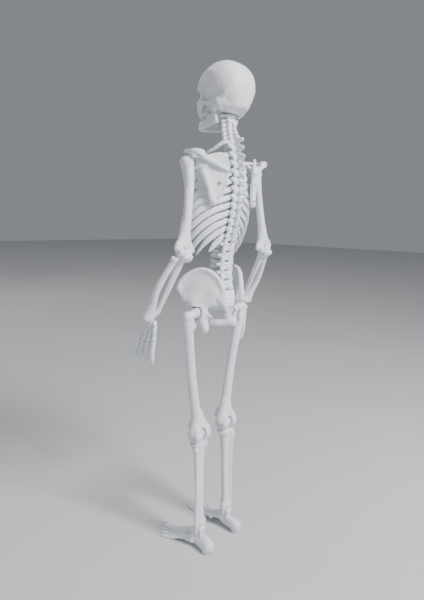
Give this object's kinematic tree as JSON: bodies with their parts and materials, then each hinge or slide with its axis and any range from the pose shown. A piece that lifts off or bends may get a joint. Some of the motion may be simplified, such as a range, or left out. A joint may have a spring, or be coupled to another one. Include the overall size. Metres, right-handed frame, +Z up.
{
  "type": "human skeleton model",
  "caption": "Desk-size jointed skeleton model that stands on its own feet, with a turning skull, opening jaw and pinned shoulders, elbows, hips, knees and ankles.",
  "frame": {"origin": "on the ground, midway between the feet and under the middle of the figure's overall depth", "axes": "+X towards the figure's own left hand, +Y towards its back, +Z up; the face looks along -Y"},
  "size_m": [0.142, 0.0812, 0.4538],
  "materials": {
    "bone": "fine-grained off-white moulded plastic, barely glossy",
    "cartilage": "the same plastic, slightly cooler and smoother",
    "steel": "plain bright steel"
  },
  "bodies": {
    "torso": {"atlas": "bone", "axis": "bone", "cervical_vertebrae": "bone", "thoracic_vertebrae": "bone", "lumbar_vertebrae": "bone", "spinal_discs": "cartilage", "sacrum": "bone", "coccyx": "bone", "spine_rod": "steel", "true_ribs_left": "bone", "true_ribs_right": "bone", "false_ribs_left": "bone", "false_ribs_right": "bone", "sternum": "bone", "costal_cartilages": "cartilage", "clavicle_left": "bone", "clavicle_right": "bone", "scapula_left": "bone", "scapula_right": "bone", "hip_bone_left": "bone", "hip_bone_right": "bone", "pubic_symphysis": "cartilage", "assembly_screws": "steel"},
    "head": {"cranium": "bone", "jaw_pins": "steel"},
    "jaw": {"mandible": "bone"},
    "left_shoulder_hinge": {"shoulder_swivel_left": "steel"},
    "left_upper_arm": {"humerus_left": "bone", "elbow_pin_left": "steel"},
    "left_forearm": {"ulna_left": "bone", "radius_left": "bone"},
    "left_hand": {"carpal_bones_left": "bone", "metacarpals_left": "bone", "finger_bones_left": "bone"},
    "left_hip_hinge": {"hip_swivel_left": "steel"},
    "left_thigh": {"femur_left": "bone", "patella_left": "bone", "knee_pin_left": "steel"},
    "left_shank": {"tibia_left": "bone", "fibula_left": "bone", "ankle_pin_left": "steel"},
    "left_foot": {"tarsal_bones_left": "bone", "foot_bones_left": "bone"},
    "right_shoulder_hinge": {"shoulder_swivel_right": "steel"},
    "right_upper_arm": {"humerus_right": "bone", "elbow_pin_right": "steel"},
    "right_forearm": {"ulna_right": "bone", "radius_right": "bone"},
    "right_hand": {"carpal_bones_right": "bone", "metacarpals_right": "bone", "finger_bones_right": "bone"},
    "right_hip_hinge": {"hip_swivel_right": "steel"},
    "right_thigh": {"femur_right": "bone", "patella_right": "bone", "knee_pin_right": "steel"},
    "right_shank": {"tibia_right": "bone", "fibula_right": "bone", "ankle_pin_right": "steel"},
    "right_foot": {"tarsal_bones_right": "bone", "foot_bones_right": "bone"}
  },
  "joints": [
    {"name": "head_turn", "type": "hinge", "parent": "torso", "child": "head", "pos_m": [0, 0.0125, 0.411], "axis": [0, 0, 1], "range_deg": [-60, 60]},
    {"name": "jaw_open", "type": "hinge", "parent": "head", "child": "jaw", "pos_m": [0, 0.013, 0.4133], "axis": [1, 0, 0], "range_deg": [0, 20]},
    {"name": "left_shoulder_swing", "type": "hinge", "parent": "torso", "child": "left_shoulder_hinge", "pos_m": [0.048, 0.013, 0.366], "axis": [-1, 0, 0], "range_deg": [-30, 90]},
    {"name": "left_shoulder_spread", "type": "hinge", "parent": "left_shoulder_hinge", "child": "left_upper_arm", "pos_m": [0.048, 0.013, 0.366], "axis": [0, -1, 0], "range_deg": [-2, 60]},
    {"name": "left_elbow_bend", "type": "hinge", "parent": "left_upper_arm", "child": "left_forearm", "pos_m": [0.0575, 0.02, 0.2925], "axis": [-0.9909, -0.0303, -0.131], "range_deg": [-25, 80]},
    {"name": "left_wrist_bend", "type": "hinge", "parent": "left_forearm", "child": "left_hand", "pos_m": [0.066, -0.0095, 0.235], "axis": [-0.9909, -0.0303, -0.131], "range_deg": [-35, 45]},
    {"name": "left_hip_swing", "type": "hinge", "parent": "torso", "child": "left_hip_hinge", "pos_m": [0.026, 0.006, 0.237], "axis": [-1, 0, 0], "range_deg": [-20, 80]},
    {"name": "left_hip_spread", "type": "hinge", "parent": "left_hip_hinge", "child": "left_thigh", "pos_m": [0.026, 0.006, 0.237], "axis": [0, -1, 0], "range_deg": [-2, 25]},
    {"name": "left_knee_bend", "type": "hinge", "parent": "left_thigh", "child": "left_shank", "pos_m": [0.02, 0.008, 0.1185], "axis": [1, 0, 0], "range_deg": [0, 100]},
    {"name": "left_ankle_bend", "type": "hinge", "parent": "left_shank", "child": "left_foot", "pos_m": [0.0205, 0.011, 0.0195], "axis": [1, 0, 0], "range_deg": [-15, 30]},
    {"name": "right_shoulder_swing", "type": "hinge", "parent": "torso", "child": "right_shoulder_hinge", "pos_m": [-0.048, 0.013, 0.366], "axis": [-1, 0, 0], "range_deg": [-30, 90]},
    {"name": "right_shoulder_spread", "type": "hinge", "parent": "right_shoulder_hinge", "child": "right_upper_arm", "pos_m": [-0.048, 0.013, 0.366], "axis": [0, 1, 0], "range_deg": [-2, 60]},
    {"name": "right_elbow_bend", "type": "hinge", "parent": "right_upper_arm", "child": "right_forearm", "pos_m": [-0.0575, 0.02, 0.2925], "axis": [-0.9909, 0.0303, 0.131], "range_deg": [-25, 80]},
    {"name": "right_wrist_bend", "type": "hinge", "parent": "right_forearm", "child": "right_hand", "pos_m": [-0.066, -0.0095, 0.235], "axis": [-0.9909, 0.0303, 0.131], "range_deg": [-35, 45]},
    {"name": "right_hip_swing", "type": "hinge", "parent": "torso", "child": "right_hip_hinge", "pos_m": [-0.026, 0.006, 0.237], "axis": [-1, 0, 0], "range_deg": [-20, 80]},
    {"name": "right_hip_spread", "type": "hinge", "parent": "right_hip_hinge", "child": "right_thigh", "pos_m": [-0.026, 0.006, 0.237], "axis": [0, 1, 0], "range_deg": [-2, 25]},
    {"name": "right_knee_bend", "type": "hinge", "parent": "right_thigh", "child": "right_shank", "pos_m": [-0.02, 0.008, 0.1185], "axis": [1, 0, 0], "range_deg": [0, 100]},
    {"name": "right_ankle_bend", "type": "hinge", "parent": "right_shank", "child": "right_foot", "pos_m": [-0.0205, 0.011, 0.0195], "axis": [1, 0, 0], "range_deg": [-15, 30]}
  ]
}
